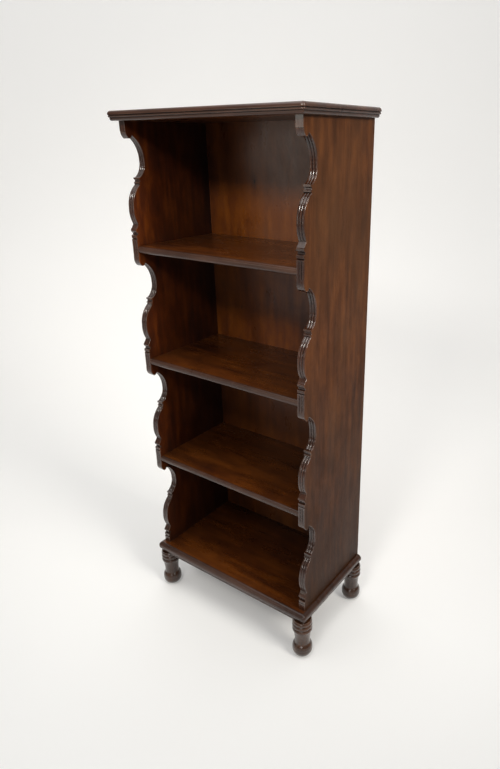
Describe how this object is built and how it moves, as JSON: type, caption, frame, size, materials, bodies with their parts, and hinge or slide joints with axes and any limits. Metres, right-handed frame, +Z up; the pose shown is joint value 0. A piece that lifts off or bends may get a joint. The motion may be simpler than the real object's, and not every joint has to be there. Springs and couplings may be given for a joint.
{
  "type": "open bookcase",
  "caption": "Tall open bookcase with shaped and fluted sides, housed shelves, moulded top and base boards and turned feet.",
  "frame": {"origin": "on the floor, under the middle of the whole piece", "axes": "+Z up, the open front faces -Y, +X to the right seen from the front"},
  "size_m": [0.5434, 0.309, 1.335],
  "materials": {
    "polished_mahogany": "satin",
    "back_mahogany": "satin",
    "turned_mahogany": "gloss",
    "dowel_wood": "matte",
    "screw_steel": "satin"
  },
  "bodies": {
    "root": {"left_side": "polished_mahogany", "right_side": "polished_mahogany", "lower_shelf": "polished_mahogany", "middle_shelf": "polished_mahogany", "upper_shelf": "polished_mahogany", "top_board": "polished_mahogany", "base_board": "polished_mahogany", "back_panel": "back_mahogany", "front_left_foot": "turned_mahogany", "front_right_foot": "turned_mahogany", "rear_left_foot": "turned_mahogany", "rear_right_foot": "turned_mahogany", "carcass_dowels": "dowel_wood", "back_screws": "screw_steel"}
  },
  "joints": []
}
